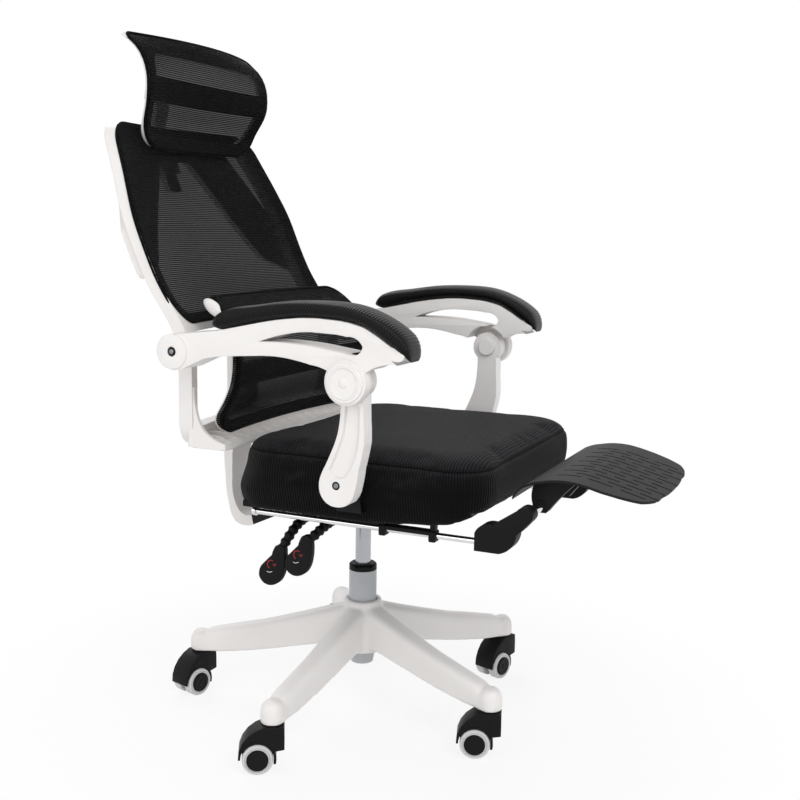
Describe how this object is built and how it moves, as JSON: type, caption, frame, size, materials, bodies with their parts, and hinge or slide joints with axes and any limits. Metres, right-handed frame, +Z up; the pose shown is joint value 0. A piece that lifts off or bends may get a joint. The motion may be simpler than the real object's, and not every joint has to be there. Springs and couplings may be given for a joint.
{
  "type": "reclining office chair",
  "caption": "High-backed mesh office chair on a five-star base with gas lift, reclining back with linked arms, lumbar panel, headrest and a slide-out footrest.",
  "frame": {"origin": "on the floor under the swivel axis of the gas lift", "axes": "+Z up, the sitter faces -Y, +X to the sitter's left, so the levers are on the -X side"},
  "size_m": [0.6766, 1.0035, 1.18],
  "materials": {
    "white_plastic": "satin white moulded plastic",
    "black_plastic": "black moulded plastic",
    "black_mesh": "black ribbed mesh",
    "seat_fabric": "black ribbed fabric over foam",
    "arm_pad": "soft black moulded pad with cross ribs",
    "column_grey": "pale grey painted steel",
    "cylinder_steel": "satin steel",
    "chrome": "chromed steel tube",
    "dark_steel": "black powder-coated steel",
    "tread": "pale grey tread on a black hub",
    "footplate": "dark grey moulded plastic",
    "foam_pan": "black moulded pan"
  },
  "bodies": {
    "base": {"star_base": "white_plastic", "column_tube": "column_grey", "column_bush": "black_plastic", "thrust_bearing": "cylinder_steel", "column_clip": "cylinder_steel"},
    "rod": {"piston_rod": "cylinder_steel"},
    "seat": {"gas_cylinder": "cylinder_steel", "mechanism_housing": "dark_steel", "recline_pin": "cylinder_steel", "seat_pan": "foam_pan", "seat_cushion": "seat_fabric", "strut_brackets": "dark_steel", "footrest_guides": "black_plastic"},
    "back": {"recline_bracket": "dark_steel", "j_bar": "white_plastic", "back_frame": "white_plastic", "back_mesh": "black_mesh", "back_support": "white_plastic", "lumbar_guide": "white_plastic", "headrest_sleeve": "white_plastic", "arm_bolts": "cylinder_steel"},
    "lumbar": {"lumbar_frame": "white_plastic", "lumbar_mesh": "black_mesh", "lumbar_carrier": "white_plastic"},
    "headrest_post": {"headrest_post": "white_plastic"},
    "headrest": {"headrest_bracket": "white_plastic", "headrest_frame": "white_plastic", "headrest_mesh": "black_mesh"},
    "footrest_slide": {"footrest_rails": "chrome", "footrest_blocks": "black_plastic", "footrest_crossbar": "chrome"},
    "footrest_plate": {"footrest_plate": "footplate", "footrest_plate_clamp": "footplate"},
    "recline_lever": {"recline_lever_hose": "black_plastic", "recline_lever_paddle": "black_plastic"},
    "height_lever": {"height_lever_hose": "black_plastic", "height_lever_paddle": "black_plastic"},
    "arm_right": {"arm_right": "white_plastic", "arm_cap_right": "white_plastic", "arm_pad_right": "arm_pad"},
    "strut_right": {"arm_strut_right": "white_plastic"},
    "arm_left": {"arm_left": "white_plastic", "arm_cap_left": "white_plastic", "arm_pad_left": "arm_pad"},
    "strut_left": {"arm_strut_left": "white_plastic"},
    "caster_1": {"caster_1_hood": "black_plastic"},
    "caster_1_wheel_left": {"caster_1_wheel_left": "tread"},
    "caster_1_wheel_right": {"caster_1_wheel_right": "tread"},
    "caster_2": {"caster_2_hood": "black_plastic"},
    "caster_2_wheel_left": {"caster_2_wheel_left": "tread"},
    "caster_2_wheel_right": {"caster_2_wheel_right": "tread"},
    "caster_3": {"caster_3_hood": "black_plastic"},
    "caster_3_wheel_left": {"caster_3_wheel_left": "tread"},
    "caster_3_wheel_right": {"caster_3_wheel_right": "tread"},
    "caster_4": {"caster_4_hood": "black_plastic"},
    "caster_4_wheel_left": {"caster_4_wheel_left": "tread"},
    "caster_4_wheel_right": {"caster_4_wheel_right": "tread"},
    "caster_5": {"caster_5_hood": "black_plastic"},
    "caster_5_wheel_left": {"caster_5_wheel_left": "tread"},
    "caster_5_wheel_right": {"caster_5_wheel_right": "tread"}
  },
  "joints": [
    {"name": "swivel", "type": "hinge", "parent": "base", "child": "rod", "pos_m": [0, 0, 0.1], "axis": [0, 0, 1], "continuous": true},
    {"name": "seat_height", "type": "slide", "parent": "rod", "child": "seat", "axis": [0, 0, 1], "range_m": [-0.05, 0.05]},
    {"name": "recline", "type": "hinge", "parent": "seat", "child": "back", "pos_m": [0, 0.09, 0.375], "axis": [-1, 0, 0], "range_deg": [0, 30]},
    {"name": "lumbar_height", "type": "slide", "parent": "back", "child": "lumbar", "axis": [0, 0, 1], "range_m": [0, 0.03]},
    {"name": "headrest_height", "type": "slide", "parent": "back", "child": "headrest_post", "axis": [0, 0.3712, 0.9285], "range_m": [0, 0.05]},
    {"name": "headrest_tilt", "type": "hinge", "parent": "headrest_post", "child": "headrest", "pos_m": [0, 0.436, 1.098], "axis": [-1, 0, 0], "range_deg": [-2, 20]},
    {"name": "footrest_extend", "type": "slide", "parent": "seat", "child": "footrest_slide", "axis": [0, -1, 0], "range_m": [0, 0.22]},
    {"name": "footrest_flip", "type": "hinge", "parent": "footrest_slide", "child": "footrest_plate", "pos_m": [0, -0.373, 0.442], "axis": [1, 0, 0], "range_deg": [0, 165]},
    {"name": "recline_lever_turn", "type": "hinge", "parent": "seat", "child": "recline_lever", "pos_m": [-0.07, 0.04, 0.378], "axis": [1, 0, 0], "range_deg": [0, 14], "stiffness_Nm_per_rad": 2},
    {"name": "height_lever_turn", "type": "hinge", "parent": "seat", "child": "height_lever", "pos_m": [-0.07, -0.014, 0.378], "axis": [-1, 0, 0], "range_deg": [0, 14], "stiffness_Nm_per_rad": 2},
    {"name": "arm_right_hinge", "type": "hinge", "parent": "back", "child": "arm_right", "pos_m": [0, 0.184, 0.665], "axis": [-1, 0, 0], "range_deg": [-21.7, 1]},
    {"name": "strut_right_hinge", "type": "hinge", "parent": "seat", "child": "strut_right", "pos_m": [0, -0.101, 0.476], "axis": [-1, 0, 0], "range_deg": [-1, 49]},
    {"name": "arm_left_hinge", "type": "hinge", "parent": "back", "child": "arm_left", "pos_m": [0, 0.184, 0.665], "axis": [-1, 0, 0], "range_deg": [-21.7, 1]},
    {"name": "strut_left_hinge", "type": "hinge", "parent": "seat", "child": "strut_left", "pos_m": [0, -0.101, 0.476], "axis": [-1, 0, 0], "range_deg": [-1, 49]},
    {"name": "caster_1_swivel", "type": "hinge", "parent": "base", "child": "caster_1", "pos_m": [0.25045, 0.17407, 0.09], "axis": [0, 0, 1], "continuous": true},
    {"name": "caster_1_left_roll", "type": "hinge", "parent": "caster_1", "child": "caster_1_wheel_left", "pos_m": [0.22967, 0.18607, 0.025], "axis": [-0.5, -0.866, 0], "continuous": true},
    {"name": "caster_1_right_roll", "type": "hinge", "parent": "caster_1", "child": "caster_1_wheel_right", "pos_m": [0.22967, 0.18607, 0.025], "axis": [-0.5, -0.866, 0], "continuous": true},
    {"name": "caster_2_swivel", "type": "hinge", "parent": "base", "child": "caster_2", "pos_m": [-0.08815, 0.29198, 0.09], "axis": [0, 0, 1], "continuous": true},
    {"name": "caster_2_left_roll", "type": "hinge", "parent": "caster_2", "child": "caster_2_wheel_left", "pos_m": [-0.11134, 0.29819, 0.025], "axis": [-0.2588, -0.9659, 0], "continuous": true},
    {"name": "caster_2_right_roll", "type": "hinge", "parent": "caster_2", "child": "caster_2_wheel_right", "pos_m": [-0.11134, 0.29819, 0.025], "axis": [-0.2588, -0.9659, 0], "continuous": true},
    {"name": "caster_3_swivel", "type": "hinge", "parent": "base", "child": "caster_3", "pos_m": [-0.30493, 0.00639, 0.09], "axis": [0, 0, 1], "continuous": true},
    {"name": "caster_3_left_roll", "type": "hinge", "parent": "caster_3", "child": "caster_3_wheel_left", "pos_m": [-0.31729, 0.02696, 0.025], "axis": [-0.8572, -0.515, 0], "continuous": true},
    {"name": "caster_3_right_roll", "type": "hinge", "parent": "caster_3", "child": "caster_3_wheel_right", "pos_m": [-0.31729, 0.02696, 0.025], "axis": [-0.8572, -0.515, 0], "continuous": true},
    {"name": "caster_4_swivel", "type": "hinge", "parent": "base", "child": "caster_4", "pos_m": [-0.1003, -0.28803, 0.09], "axis": [0, 0, 1], "continuous": true},
    {"name": "caster_4_left_roll", "type": "hinge", "parent": "caster_4", "child": "caster_4_wheel_left", "pos_m": [-0.10851, -0.26548, 0.025], "axis": [-0.9397, -0.342, 0], "continuous": true},
    {"name": "caster_4_right_roll", "type": "hinge", "parent": "caster_4", "child": "caster_4_wheel_right", "pos_m": [-0.10851, -0.26548, 0.025], "axis": [-0.9397, -0.342, 0], "continuous": true},
    {"name": "caster_5_swivel", "type": "hinge", "parent": "base", "child": "caster_5", "pos_m": [0.24294, -0.1844, 0.09], "axis": [0, 0, 1], "continuous": true},
    {"name": "caster_5_left_roll", "type": "hinge", "parent": "caster_5", "child": "caster_5_wheel_left", "pos_m": [0.22012, -0.17699, 0.025], "axis": [-0.309, -0.9511, 0], "continuous": true},
    {"name": "caster_5_right_roll", "type": "hinge", "parent": "caster_5", "child": "caster_5_wheel_right", "pos_m": [0.22012, -0.17699, 0.025], "axis": [-0.309, -0.9511, 0], "continuous": true}
  ],
  "couplings": [
    {"joint": "arm_right_hinge", "follows": "recline", "ratio": -0.69},
    {"joint": "strut_right_hinge", "follows": "recline", "ratio": 1.6},
    {"joint": "arm_left_hinge", "follows": "recline", "ratio": -0.69},
    {"joint": "strut_left_hinge", "follows": "recline", "ratio": 1.6}
  ]
}
